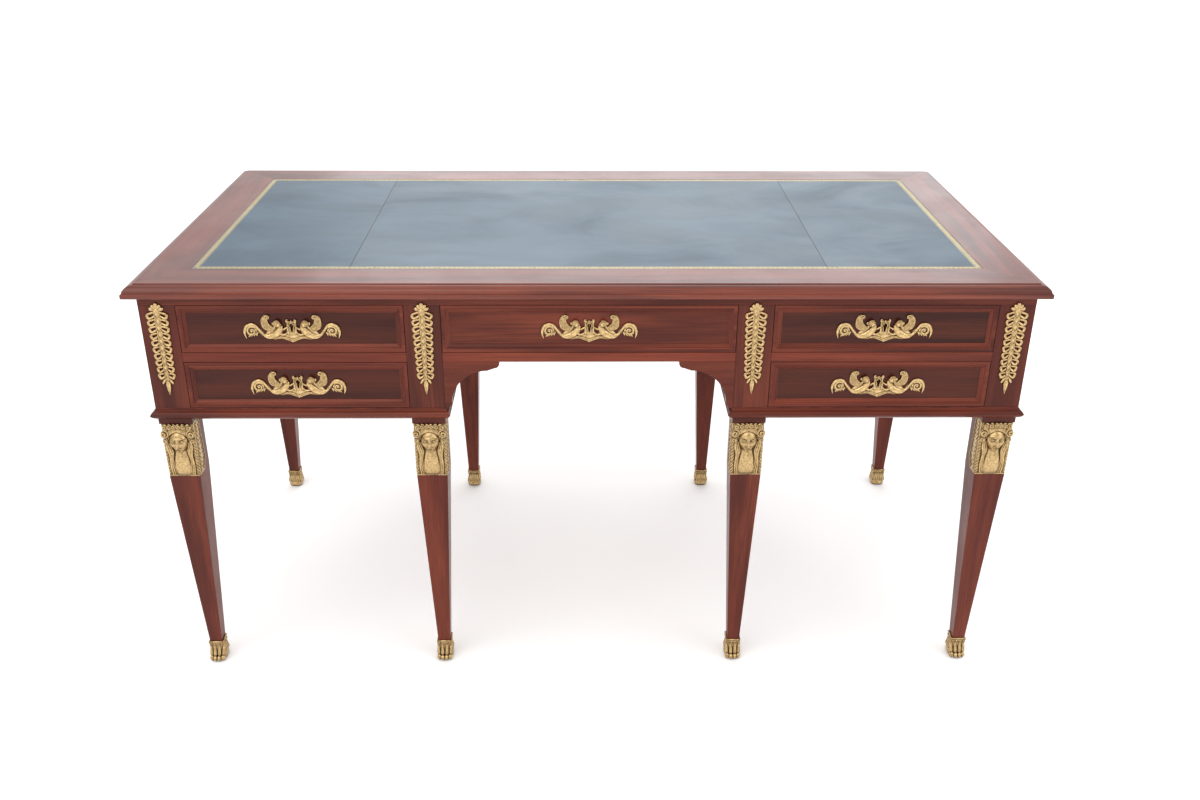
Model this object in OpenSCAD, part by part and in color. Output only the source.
// Pedestal writing desk on eight tapered legs: five locking drawers, a leather-lined top
// and gilt mounts. Front faces -Y, +X is to the right, the floor is at z = 0.

/* [Overall] */
// Width across the outer edge of the top
desk_w = 1524; // [1250:1:1860]
// Depth across the outer edge of the top
desk_d = 762; // [630:1:920]
// Height from the floor to the writing surface
desk_h = 770; // [640:1:930]

/* [Top] */
// Thickness of the top's border
top_t = 22; // [20:0.5:30]
// Width of the border, from the leather to the outer edge
border_w = 91; // [74:1:112]
// Width of the edge moulding, seen from above
edge_w = 18; // [14:0.5:24]
// Ledge under the border that carries the inner panel
ledge_w = 15; // [10:1:20]
// Thickness of the inner panel
panel_t = 12; // [8:0.5:13]
// Thickness of the leather
leather_t = 1.2; // [0.8:0.1:2]
// Depth of the leather below the border
leather_drop = 0.3; // [0:0.1:1]
// Width of the middle piece of leather
centre_leather_w = 812; // [670:1:980]

/* [Case] */
// Overhang of the top beyond the case at each side
overhang_side = 20; // [16:1:28]
// Overhang of the top beyond the case at front and rear
overhang_front = 16; // [13:1:24]
// Height of the case
case_h = 223; // [185:1:270]
// Width of each pedestal
pedestal_w = 495; // [412:1:560]
// Thickness of the case boards, stiles and drawer fronts
board_t = 20; // [18:0.5:25]
// Width of the stiles
stile_w = 60; // [56:1:73]
// Thickness of the pedestal floors
bottom_t = 20; // [18:0.5:25]
// Height of the rail under the upper drawers
mid_rail_h = 17; // [14:0.5:22]
// Depth of the rail under the upper drawers, front to rear
mid_rail_d = 40; // [36:1:50]
// Height of the rails under the top
top_rail_h = 15; // [12.5:0.5:20]
// Height of the base moulding
base_h = 18; // [14:0.5:18]
// Projection of the base moulding
base_out = 8.5; // [6:0.5:12]
// Distance from a pedestal to the level part of the kneehole arch
arch_reach = 95; // [90:1:112]
// Radius of the kneehole arch's corners
arch_r = 62; // [50:1:64]
// Wood left beside the arch's corner
arch_web = 12; // [8:1:15]
// Thickness of the arch brackets
bracket_t = 18; // [14:0.5:22]

/* [Drawers] */
// Gap between a drawer front and its opening
drawer_gap = 0.8; // [0.5:0.1:1.5]
// Flat frame round the sunk panel of a drawer front
frame_w = 6; // [4:0.5:10]
// Width of the moulding round a sunk panel
sink_w = 7.5; // [5:0.5:10]
// Depth of a sunk panel
sink_depth = 5; // [3:0.5:6]
// Space behind a closed drawer
rear_gap = 90; // [60:1:130]
// Thickness of the drawer sides and backs
box_side_t = 11; // [9:0.5:14]
// Thickness of the drawer bottoms
box_bottom_t = 6; // [4:0.5:8]
// Height of the drawer bottoms above the runners
box_raise = 7; // [6:0.5:10]
// Space over the drawer sides
box_head = 6; // [4:0.5:10]
// Space between a drawer and its guides
guide_gap = 1; // [0.5:0.1:1.5]
// Space between a drawer and its runners
slide_gap = 0.3; // [0.2:0.1:0.6]
// Width of runner under each drawer side
runner_w = 16; // [13:1:20]
// Height of the guide strips beside the drawers
guide_h = 20; // [16:1:26]
// Height of the drawer stops
stop_h = 4.5; // [3:0.5:5.5]

/* [Locks] */
// Width of the lock case
lock_w = 60; // [50:1:72]
// Height of the lock case
lock_h = 56; // [52:1:60]
// Thickness of the lock case
lock_t = 11; // [9:0.5:12]
// Width of the bolt
bolt_w = 24; // [18:1:30]
// Thickness of the bolt
bolt_t = 5.5; // [4:0.5:6.5]
// Length of the bolt
bolt_len = 26; // [20:1:30]
// Travel of the bolt
bolt_travel = 8; // [6:0.5:9]
// Clearance round the bolt
bolt_gap = 0.4; // [0.3:0.1:0.6]
// Radius of the keyhole's round part
key_r = 3; // [2.5:0.1:3.5]

/* [Legs] */
// Width of the capital blocks
capital_w = 58; // [56:1:64]
// Height of the capital blocks
capital_h = 11; // [8:0.5:14]
// Width of a leg's square top
leg_w = 54; // [45:1:55.5]
// Width of a leg where it enters its foot
ankle_w = 22; // [18.5:0.5:24]
// Radius of the dowel that holds a leg in the case
dowel_r = 11; // [8:0.5:13]
// Height of the bust mounts
bust_h = 103; // [86:1:124]
// Depth of wood cut away behind a bust
bust_cut = 18; // [15:0.5:22]
// Thickness of a bust's side plates
plate_t = 1.6; // [1.2:0.1:2.2]
// Height of the paw feet
foot_h = 42; // [35:1:51]
// Width of a foot's cuff
cuff_w = 28; // [27:0.5:34]
// Depth of the socket in a foot
socket_h = 10; // [8:0.5:12]
// Clearance round dowels and screws in their holes
fit_gap = 0.1; // [0.05:0.05:0.3]
// Glue line between a guide strip and the runner below it
glue_gap = 0.2; // [0.1:0.1:0.5]

/* [Gilt mounts] */
// Length of a laurel mount
laurel_h = 168; // [140:1:172]
// Width of a laurel mount
laurel_w = 38; // [32:1:46]
// Width of a keyhole mount
mount_w = 158; // [132:1:190]
// Height of a keyhole mount
mount_h = 50; // [42:1:54]
// Thickness of the flat mounts
mount_t = 4; // [3:0.5:5]

/* [Hidden] */
$fn = 32;

WOOD = "saddlebrown";
DARK_WOOD = "sienna";
PALE_WOOD = "burlywood";
GILT = "goldenrod";
STEEL = "dimgray";
TEAL = "darkslategray";
SIDES = [-1, 1];

// Levels
top_z = desk_h - top_t;
case_z = top_z - case_h;
floor_z = case_z + bottom_t;
rail_z = top_z - top_rail_h;
opening_h = (rail_z - floor_z - mid_rail_h) / 2;
mid_z = floor_z + opening_h;
upper_z = mid_z + mid_rail_h;
capital_z = case_z - capital_h;
bust_z = capital_z - bust_h;
ankle_z = foot_h - socket_h;

// Plan
body_x = desk_w / 2 - overhang_side;
body_y = desk_d / 2 - overhang_front;
knee_x = body_x - pedestal_w;
inner_x = desk_w / 2 - border_w;
inner_y = desk_d / 2 - border_w;
stile_y = body_y - board_t;
outer_stile_x = body_x - stile_w / 2;
inner_stile_x = knee_x + stile_w / 2;
pedestal_x = (body_x + knee_x) / 2;
leg_y = body_y - stile_w / 2;
leg_xs = [-outer_stile_x, -inner_stile_x, inner_stile_x, outer_stile_x];

// Each drawer opening: middle x, half width, bottom z
pedestal_open = pedestal_w / 2 - stile_w;
OPENINGS = [
    [-pedestal_x, pedestal_open, upper_z],
    [-pedestal_x, pedestal_open, floor_z],
    [0, knee_x, upper_z],
    [pedestal_x, pedestal_open, upper_z],
    [pedestal_x, pedestal_open, floor_z]
];

// Small fixed details
panel_margin = frame_w + sink_w;
side_frame_w = 34;
dowel_depth = 14;
ankle_tenon_w = 14;
ankle_tenon_h = 18;
screw_r = 2;
screw_head_r = 4;
screw_head_h = 2.5;
screw_bite = 8;
screw_slot = 1;
screw_offset = 110;
centre_screw_x = 150;
stop_w = 30;
stop_d = 14;
stop_inset = 50;
mortise_extra = 1;
bolt_rest = 0.5;
bolt_slot_depth = bolt_rest + bolt_len;
pin_r = 1.2;
box_len = 2 * stile_y - rear_gap;
key_z = 4;
arch_half_w = knee_x - arch_reach;
laurel_drop = 9;
laurel_len = min(laurel_h, case_h - base_h - laurel_drop - 6);
field_h = opening_h - 2 * drawer_gap - 2 * panel_margin;
mount_len = min(mount_h, field_h - 4);

// Box given by its low and high corners
module box(low, high) {
    translate(low) cube(high - low);
}

// Straight length of a moulding along X, from a profile drawn as [y, z]
module strip(length) {
    translate([-length / 2, 0, 0]) rotate([90, 0, 90]) linear_extrude(length) children();
}

// Strip with 45 degree ends; the datum line y = 0 is 2 * half long, outward is -Y
module mitred(half, reach, inset) {
    intersection() {
        strip(2 * (half + reach)) children();
        linear_extrude(desk_h) polygon([
            [-half - reach, -reach], [half + reach, -reach],
            [half - inset, inset], [-half + inset, inset]
        ]);
    }
}

// One side of a mitred frame round a rectangle: 0 front, 1 right, 2 rear, 3 left
module frame_side(k, hx, hy, reach, inset) {
    rotate([0, 0, 90 * k]) translate([0, -(k % 2 == 0 ? hy : hx), 0])
        mitred(k % 2 == 0 ? hx : hy, reach, inset) children();
}

// Sunk field with sloping sides, cut into a face at y = 0 from -Y
module sunk_field(hx, hz) {
    eps = 1;
    grow = sink_w * eps / sink_depth;
    intersection() {
        translate([0, 0, -hz - 2 * sink_w]) linear_extrude(2 * hz + 4 * sink_w) polygon([
            [-hx - grow, -eps], [hx + grow, -eps],
            [hx - sink_w, sink_depth], [-hx + sink_w, sink_depth]
        ]);
        rotate([90, 0, 90]) translate([0, 0, -hx - 2 * sink_w]) linear_extrude(2 * hx + 4 * sink_w)
            polygon([
                [-eps, -hz - grow], [-eps, hz + grow],
                [sink_depth, hz - sink_w], [sink_depth, -hz + sink_w]
            ]);
    }
}

// ---- Top ----

module border_profile() {
    polygon([
        [ledge_w, top_z], [ledge_w, panel_z()], [0, panel_z()], [0, desk_h],
        [-border_w + edge_w, desk_h], [-border_w + edge_w - 1, desk_h - 1.5],
        [-border_w + edge_w * 0.45, desk_h - 5], [-border_w + 2.2, desk_h - 12],
        [-border_w, desk_h - 13.5], [-border_w, top_z + 2.5], [-border_w + 2.5, top_z]
    ]);
}

function panel_z() = desk_h - leather_drop - leather_t - panel_t;

module screw_at(x, y, gap) {
    translate([x, y, rail_z]) {
        cylinder(h = top_rail_h + screw_bite + 2 * gap, r = screw_r + gap);
        cylinder(h = screw_head_h, r = screw_head_r + gap);
    }
}

module all_screws(gap) {
    for (sy = SIDES) {
        for (sx = SIDES) {
            screw_at(sx * (pedestal_x + screw_offset), sy * (body_y - board_t / 2), gap);
            screw_at(sx * (pedestal_x - screw_offset), sy * (body_y - board_t / 2), gap);
            screw_at(sx * centre_screw_x, sy * (body_y - board_t / 2), gap);
        }
    }
}

module top_border(k) {
    color(WOOD) difference() {
        frame_side(k, inner_x, inner_y, border_w, ledge_w) border_profile();
        all_screws(fit_gap);
    }
}

module top_panel() {
    color(DARK_WOOD) box([-inner_x, -inner_y, panel_z()], [inner_x, inner_y, panel_z() + panel_t]);
}

module leather(x0, x1) {
    color(TEAL) box([x0, -inner_y, panel_z() + panel_t], [x1, inner_y, desk_h - leather_drop]);
}

// ---- Case ----

// Mortise in a rail that takes the bolt of drawer i
module bolt_mortise(i) {
    x = OPENINGS[i][0];
    z = OPENINGS[i][2] + opening_h;
    box([x - bolt_w / 2 - mortise_extra, bolt_y() - bolt_t / 2 - mortise_extra, z - 1],
        [x + bolt_w / 2 + mortise_extra, bolt_y() + bolt_t / 2 + mortise_extra,
         z + bolt_travel + mortise_extra]);
}

function bolt_y() = -body_y + board_t - lock_t / 2;

module top_rail(sy) {
    color(WOOD) difference() {
        box([-body_x, sy < 0 ? -body_y : stile_y, rail_z], [body_x, sy < 0 ? -stile_y : body_y, top_z]);
        all_screws(fit_gap);
        for (i = [0, 2, 3]) bolt_mortise(i);
    }
}

module stiles(sy) {
    color(WOOD) for (x = leg_xs)
        box([x - stile_w / 2, sy < 0 ? -body_y : stile_y, floor_z],
            [x + stile_w / 2, sy < 0 ? -stile_y : body_y, rail_z]);
}

module drawer_rails() {
    color(WOOD) for (i = [0, 2, 3]) {
        x = OPENINGS[i][0];
        half = OPENINGS[i][1];
        difference() {
            box([x - half, -body_y, mid_z], [x + half, -body_y + mid_rail_d, upper_z]);
            if (i != 2) bolt_mortise(i + 1);
        }
    }
}

// Outer side of a pedestal, with a sunk panel on its outer face
module outer_side(sx) {
    hy = stile_y;
    half_z = (top_z - floor_z) / 2;
    color(WOOD) mirror([sx < 0 ? 0 : 1, 0, 0]) difference() {
        box([-body_x, -hy, floor_z], [-body_x + board_t, hy, top_z]);
        translate([-body_x, 0, floor_z + half_z]) rotate([0, 0, -90])
            sunk_field(hy - side_frame_w, half_z - panel_margin);
    }
}

module inner_sides() {
    color(WOOD) for (sx = SIDES)
        box([min(sx * knee_x, sx * (knee_x + board_t)), -stile_y, floor_z],
            [max(sx * knee_x, sx * (knee_x + board_t)), stile_y, top_z]);
}

module pedestal_bottoms() {
    color(DARK_WOOD) for (sx = SIDES) difference() {
        box([min(sx * knee_x, sx * body_x), -body_y, case_z],
            [max(sx * knee_x, sx * body_x), body_y, floor_z]);
        for (x = leg_xs, sy = SIDES)
            translate([x, sy * leg_y, case_z - 1]) cylinder(h = dowel_depth + 2, r = dowel_r + fit_gap);
    }
}

module back_panel(x, half, z0) {
    half_z = (rail_z - z0) / 2;
    translate([x, body_y, z0 + half_z]) difference() {
        box([-half, -board_t, -half_z], [half, 0, half_z]);
        rotate([0, 0, 180]) sunk_field(half - frame_w, half_z - frame_w);
    }
}

module back_panels() {
    color(WOOD) {
        back_panel(-pedestal_x, pedestal_open, floor_z);
        back_panel(0, knee_x, mid_z);
        back_panel(pedestal_x, pedestal_open, floor_z);
    }
}

// Beak-shaped moulding round the foot of a pedestal, drawn outward from its board
module base_profile() {
    polygon([
        [0, case_z + base_h], [-base_out * 0.55, case_z + base_h * 0.72],
        [-base_out, case_z + base_h * 0.55], [-base_out, case_z + base_h * 0.45],
        [-base_out * 0.4, case_z + base_h * 0.12], [0, case_z]
    ]);
}

module base_mouldings() {
    color(WOOD) for (sx = SIDES, k = [0:3])
        translate([sx * pedestal_x, 0, 0])
            frame_side(k, pedestal_w / 2, body_y, base_out, 0) base_profile();
}

// Bracket between the centre rail and a pedestal, drawn as [x, z] on the +X side
module bracket_shape() {
    nose_r = 8.5;
    arc_x = knee_x - arch_web - arch_r;
    arc_z = mid_z - nose_r - 8 - arch_r;
    low_z = case_z + base_h;
    difference() {
        union() {
            polygon([
                [knee_x, mid_z], [arch_half_w, mid_z], [arch_half_w, mid_z - 3.5],
                [arch_half_w + nose_r, mid_z - 3.5 - nose_r], [arc_x, arc_z + arch_r],
                [arc_x, arc_z], [knee_x - arch_web, arc_z],
                [knee_x - arch_web / 2, low_z], [knee_x, low_z]
            ]);
            translate([arch_half_w + nose_r, mid_z - 3.5]) circle(r = nose_r);
        }
        translate([arc_x, arc_z]) circle(r = arch_r, $fn = 64);
        translate([arch_half_w - nose_r, mid_z]) square([4 * nose_r, 2 * nose_r]);
    }
}

module arch_brackets() {
    color(WOOD) for (sx = SIDES, sy = SIDES)
        mirror([sx < 0 ? 1 : 0, 0, 0]) mirror([0, sy < 0 ? 1 : 0, 0])
            translate([0, body_y, 0]) rotate([90, 0, 0]) linear_extrude(bracket_t) bracket_shape();
}

// Runners, guides and kickers for the drawers of one pedestal, drawn on the +X side
module pedestal_runners() {
    back = stile_y;
    for (side = SIDES) {
        wall = pedestal_x + side * (pedestal_w / 2 - board_t);
        line = pedestal_x + side * pedestal_open;
        under = line - side * runner_w;
        box([min(wall, line), -stile_y, floor_z], [max(wall, line), back, floor_z + guide_h]);
        box([min(wall, under), -body_y + mid_rail_d, mid_z], [max(wall, under), back, upper_z]);
        box([min(wall, line), -body_y + mid_rail_d, upper_z + glue_gap],
            [max(wall, line), back, upper_z + guide_h]);
        box([min(wall, under), -stile_y, rail_z], [max(wall, under), back, top_z]);
    }
}

module drawer_runners() {
    color(PALE_WOOD) {
        pedestal_runners();
        mirror([1, 0, 0]) pedestal_runners();
        for (sx = SIDES) {
            x0 = min(sx * knee_x, sx * (knee_x - runner_w));
            x1 = max(sx * knee_x, sx * (knee_x - runner_w));
            box([x0, -body_y + mid_rail_d, mid_z], [x1, stile_y, upper_z]);
            box([x0, -stile_y, rail_z], [x1, stile_y, top_z]);
        }
    }
}

module drawer_stops() {
    color(PALE_WOOD) for (o = OPENINGS, sx = SIDES) {
        x = o[0] + sx * (o[1] - stop_inset);
        box([x - stop_w / 2, -stile_y, o[2]], [x + stop_w / 2, -stile_y + stop_d, o[2] + stop_h]);
    }
}

module top_screws() {
    color(STEEL) difference() {
        all_screws(0);
        for (sy = SIDES)
            box([-body_x, sy * (body_y - board_t / 2) - screw_slot / 2, rail_z - 1],
                [body_x, sy * (body_y - board_t / 2) + screw_slot / 2, rail_z + screw_slot]);
    }
}

// ---- Legs ----

module capital_blocks() {
    color(WOOD) for (x = leg_xs, sy = SIDES) difference() {
        box([x - capital_w / 2, sy * leg_y - capital_w / 2, capital_z],
            [x + capital_w / 2, sy * leg_y + capital_w / 2, case_z]);
        translate([x, sy * leg_y, capital_z - 1]) cylinder(h = capital_h + 2, r = dowel_r + fit_gap);
    }
}

// Outline of a bust's side plate, as [distance behind the leg's front face, z]
module plate_shape(extra) {
    polygon([
        [-1, 0], [26, 0], [37, 22], [31, bust_h + extra], [-1, bust_h + extra]
    ]);
}

// Everything of a bust that lies in the leg's cut-out, leg's middle at the origin
module bust_seat(extra) {
    translate([0, -leg_w / 2, bust_z]) {
        box([-leg_w / 2, -1, 0], [leg_w / 2, bust_cut, bust_h + extra]);
        for (sx = SIDES)
            translate([sx * (leg_w / 2 - plate_t / 2) - plate_t / 2, 0, 0])
                rotate([90, 0, 90]) linear_extrude(plate_t) plate_shape(extra);
    }
}

module leg_taper() {
    h = bust_z - ankle_z;
    shape = [
        [-ankle_w / 2, 0], [ankle_w / 2, 0], [leg_w / 2, h], [-leg_w / 2, h]
    ];
    translate([0, 0, ankle_z]) intersection() {
        translate([0, leg_w, 0]) rotate([90, 0, 0]) linear_extrude(2 * leg_w) polygon(shape);
        translate([-leg_w, 0, 0]) rotate([90, 0, 90]) linear_extrude(2 * leg_w) polygon(shape);
    }
}

module leg_body() {
    leg_taper();
    difference() {
        box([-leg_w / 2, -leg_w / 2, bust_z], [leg_w / 2, leg_w / 2, capital_z]);
        difference() {
            bust_seat(1);
            box([-leg_w, -leg_w, bust_z - 1], [leg_w, leg_w, bust_z]);
        }
    }
    translate([0, 0, capital_z]) cylinder(h = capital_h + dowel_depth, r = dowel_r);
    box([-ankle_tenon_w / 2, -ankle_tenon_w / 2, ankle_z - ankle_tenon_h],
        [ankle_tenon_w / 2, ankle_tenon_w / 2, ankle_z]);
}

module leg(x, sy) {
    color(WOOD) translate([x, sy * leg_y, 0]) rotate([0, 0, sy < 0 ? 0 : 180]) leg_body();
}

// Paw with four toes towards -Y and a square cuff above
module paw() {
    toe_r = 5.4;
    toe_pitch = 8.6;
    difference() {
        union() {
            translate([0, -1, 0]) cylinder(h = foot_h - 10, r1 = 15.5, r2 = cuff_w / 2 - 1);
            box([-cuff_w / 2, -cuff_w / 2, foot_h - socket_h - 3], [cuff_w / 2, cuff_w / 2, foot_h]);
            for (i = [-1.5:1:1.5]) {
                translate([i * toe_pitch, abs(i) * 2 - 19, toe_r - 0.4]) sphere(r = toe_r);
                translate([i * toe_pitch, abs(i) * 2 - 17, toe_r - 1])
                    rotate([-22, 0, 0]) cylinder(h = foot_h - 19, r = toe_r - 0.8);
            }
        }
        leg_taper();
        box([-ankle_tenon_w / 2, -ankle_tenon_w / 2, ankle_z - ankle_tenon_h],
            [ankle_tenon_w / 2, ankle_tenon_w / 2, ankle_z + 1]);
        translate([-50, -50, -20]) cube([100, 100, 20]);
    }
}

module paw_feet() {
    color(GILT) for (x = leg_xs, sy = SIDES)
        translate([x, sy * leg_y, 0]) rotate([0, 0, sy < 0 ? 0 : 180]) paw();
}

// Herm bust: chest, head and hair against a back plate, with side plates
module bust() {
    head_r = 17;
    head_z = bust_h * 0.62;
    translate([0, -leg_w / 2, bust_z]) {
        box([-leg_w / 2, 0, 0], [leg_w / 2, bust_cut, bust_h * 0.36]);
        box([-leg_w / 2, bust_cut - 6, 0], [leg_w / 2, bust_cut, bust_h]);
        translate([0, 4, bust_h * 0.3]) cylinder(h = bust_h * 0.3, r = 11);
        intersection() {
            translate([0, 8, head_z]) sphere(r = head_r);
            box([-leg_w, -leg_w, 0], [leg_w, bust_cut, bust_h]);
        }
        translate([0, 11, head_z + 10]) intersection() {
            sphere(r = head_r + 5);
            box([-30, -30, -8], [30, 1, bust_h - head_z - 10]);
        }
        for (sx = SIDES)
            translate([sx * (leg_w / 2 - plate_t / 2) - plate_t / 2, 0, 0])
                rotate([90, 0, 90]) linear_extrude(plate_t) intersection() {
                    plate_shape(0);
                    square([bust_h, bust_h]);
                }
    }
}

module herm_busts() {
    color(GILT) for (x = leg_xs, sy = SIDES)
        translate([x, sy * leg_y, 0]) rotate([0, 0, sy < 0 ? 0 : 180]) bust();
}

// ---- Gilt mounts ----

// Laurel spray, drawn as [x, z] with its top at the origin
module laurel_shape() {
    pairs = 10;
    loop_r = laurel_w * 0.17;
    first = laurel_len * 0.16;
    step = laurel_len * 0.066;
    difference() {
        union() {
            polygon([
                [0, 0], [laurel_w * 0.3, -laurel_len * 0.06], [laurel_w * 0.2, -laurel_len * 0.2],
                [laurel_w * 0.1, -laurel_len * 0.82], [0, -laurel_len], [-laurel_w * 0.1, -laurel_len * 0.82],
                [-laurel_w * 0.2, -laurel_len * 0.2], [-laurel_w * 0.3, -laurel_len * 0.06]
            ]);
            for (i = [0:pairs], sx = SIDES)
                translate([sx * (laurel_w / 2 - loop_r - i * 0.35), -first - i * step])
                    circle(r = loop_r);
        }
        for (i = [0:pairs - 1], sx = SIDES)
            translate([sx * (laurel_w / 2 - loop_r - i * 0.35), -first - i * step])
                circle(r = loop_r * 0.35);
    }
}

module laurel_mounts() {
    color(GILT) for (x = leg_xs, sy = SIDES)
        translate([x, sy * body_y, top_z - laurel_drop]) rotate([0, 0, sy < 0 ? 0 : 180])
            rotate([90, 0, 0]) linear_extrude(mount_t) laurel_shape();
}

// Keyhole mount: two winged figures beside a pierced shield, drawn as [x, z]
module keyhole_shape() {
    u = mount_w / 158;
    v = mount_len / 50;
    difference() {
        union() {
            translate([-9 * u, -12 * v]) square([18 * u, 26 * v]);
            polygon([
                [0, -mount_len / 2], [-20 * u, -17 * v], [-44 * u, -17 * v], [-62 * u, -2 * v],
                [-40 * u, -2 * v], [-26 * u, 6 * v], [0, -6 * v], [26 * u, 6 * v],
                [40 * u, -2 * v], [62 * u, -2 * v], [44 * u, -17 * v], [20 * u, -17 * v]
            ]);
            for (sx = SIDES) {
                translate([sx * 26 * u, 9 * v]) circle(r = 6.5 * v);
                translate([sx * (mount_w / 2 - 11 * v), -1 * v]) circle(r = 11 * v);
                translate([sx * 44 * u, 17.5 * v]) circle(r = 7.5 * v);
                polygon([
                    [sx * 28 * u, 0], [sx * 42 * u, -4 * v], [sx * 51 * u, 16 * v], [sx * 38 * u, 20 * v]
                ]);
            }
        }
        translate([0, key_z]) circle(r = key_r + 1);
        translate([-key_r * 0.6, key_z - 3.6 * key_r]) square([key_r * 1.2, 3.6 * key_r]);
    }
}

module keyhole_mount(i) {
    o = OPENINGS[i];
    color(GILT) translate([o[0], -body_y + sink_depth, o[2] + opening_h / 2])
        rotate([90, 0, 0]) linear_extrude(mount_t) keyhole_shape();
}

// ---- Drawers ----

// Keyhole through a drawer front, cut along Y from the origin
module key_cut(length) {
    rotate([-90, 0, 0]) cylinder(h = length, r = key_r);
    box([-key_r * 0.4, 0, -key_r * 3], [key_r * 0.4, length, 0]);
}

module drawer_front(i) {
    o = OPENINGS[i];
    half = o[1] - drawer_gap;
    half_z = opening_h / 2 - drawer_gap;
    color(WOOD) translate([o[0], -body_y, o[2] + opening_h / 2]) difference() {
        box([-half, 0, -half_z], [half, board_t, half_z]);
        sunk_field(half - frame_w, half_z - frame_w);
        box([-lock_w / 2, board_t - lock_t, half_z - lock_h], [lock_w / 2, board_t + 1, half_z + 1]);
        translate([0, -1, key_z]) key_cut(board_t);
    }
}

module drawer_box(i) {
    o = OPENINGS[i];
    side = o[1] - guide_gap;
    z0 = o[2] + slide_gap;
    z1 = o[2] + opening_h - box_head;
    y0 = -stile_y;
    y1 = y0 + box_len;
    color(PALE_WOOD) {
        box([o[0] - side, y0, z0], [o[0] - side + box_side_t, y1, z1]);
        box([o[0] + side - box_side_t, y0, z0], [o[0] + side, y1, z1]);
        box([o[0] - side + box_side_t, y1 - box_side_t, z0], [o[0] + side - box_side_t, y1, z1]);
        box([o[0] - side + box_side_t, y0, o[2] + box_raise],
            [o[0] + side - box_side_t, y1 - box_side_t, o[2] + box_raise + box_bottom_t]);
    }
}

module lock(i) {
    o = OPENINGS[i];
    top = opening_h / 2 - drawer_gap;
    slot = bolt_w / 2 + bolt_gap;
    color(STEEL) translate([o[0], -stile_y - lock_t, o[2] + opening_h / 2]) {
        difference() {
            box([-lock_w / 2, 0, top - lock_h], [lock_w / 2, lock_t, top]);
            box([-slot, lock_t / 2 - bolt_t / 2 - bolt_gap, top - bolt_slot_depth],
                [slot, lock_t / 2 + bolt_t / 2 + bolt_gap, top + 1]);
            translate([0, -1, key_z]) key_cut(lock_t - 1);
        }
        translate([0, 0, key_z]) rotate([-90, 0, 0]) cylinder(h = lock_t - 1, r = pin_r);
    }
}

module bolt(i) {
    o = OPENINGS[i];
    top = o[2] + opening_h - drawer_gap - bolt_rest;
    color(GILT) box([o[0] - bolt_w / 2, bolt_y() - bolt_t / 2, top - bolt_len],
        [o[0] + bolt_w / 2, bolt_y() + bolt_t / 2, top]);
}

top_border(0);  // top_front_border
top_border(1);  // top_right_border
top_border(2);  // top_rear_border
top_border(3);  // top_left_border
top_panel();
leather(-inner_x, -centre_leather_w / 2);  // leather_left
leather(-centre_leather_w / 2, centre_leather_w / 2);  // leather_centre
leather(centre_leather_w / 2, inner_x);  // leather_right
top_rail(-1);  // front_top_rail
top_rail(1);  // rear_top_rail
stiles(-1);  // front_stiles
stiles(1);  // rear_stiles
drawer_rails();
outer_side(-1);  // left_side
outer_side(1);  // right_side
inner_sides();
pedestal_bottoms();
back_panels();
base_mouldings();
arch_brackets();
drawer_runners();
drawer_stops();
top_screws();
capital_blocks();
leg(leg_xs[0], -1);  // front_left_outer_leg
leg(leg_xs[1], -1);  // front_left_inner_leg
leg(leg_xs[2], -1);  // front_right_inner_leg
leg(leg_xs[3], -1);  // front_right_outer_leg
leg(leg_xs[0], 1);  // rear_left_outer_leg
leg(leg_xs[1], 1);  // rear_left_inner_leg
leg(leg_xs[2], 1);  // rear_right_inner_leg
leg(leg_xs[3], 1);  // rear_right_outer_leg
paw_feet();
herm_busts();
laurel_mounts();
drawer_front(0);  // upper_left_front
drawer_box(0);  // upper_left_box
keyhole_mount(0);  // upper_left_keyhole_mount
lock(0);  // upper_left_lock
bolt(0);  // upper_left_bolt
drawer_front(1);  // lower_left_front
drawer_box(1);  // lower_left_box
keyhole_mount(1);  // lower_left_keyhole_mount
lock(1);  // lower_left_lock
bolt(1);  // lower_left_bolt
drawer_front(2);  // centre_front
drawer_box(2);  // centre_box
keyhole_mount(2);  // centre_keyhole_mount
lock(2);  // centre_lock
bolt(2);  // centre_bolt
drawer_front(3);  // upper_right_front
drawer_box(3);  // upper_right_box
keyhole_mount(3);  // upper_right_keyhole_mount
lock(3);  // upper_right_lock
bolt(3);  // upper_right_bolt
drawer_front(4);  // lower_right_front
drawer_box(4);  // lower_right_box
keyhole_mount(4);  // lower_right_keyhole_mount
lock(4);  // lower_right_lock
bolt(4);  // lower_right_bolt
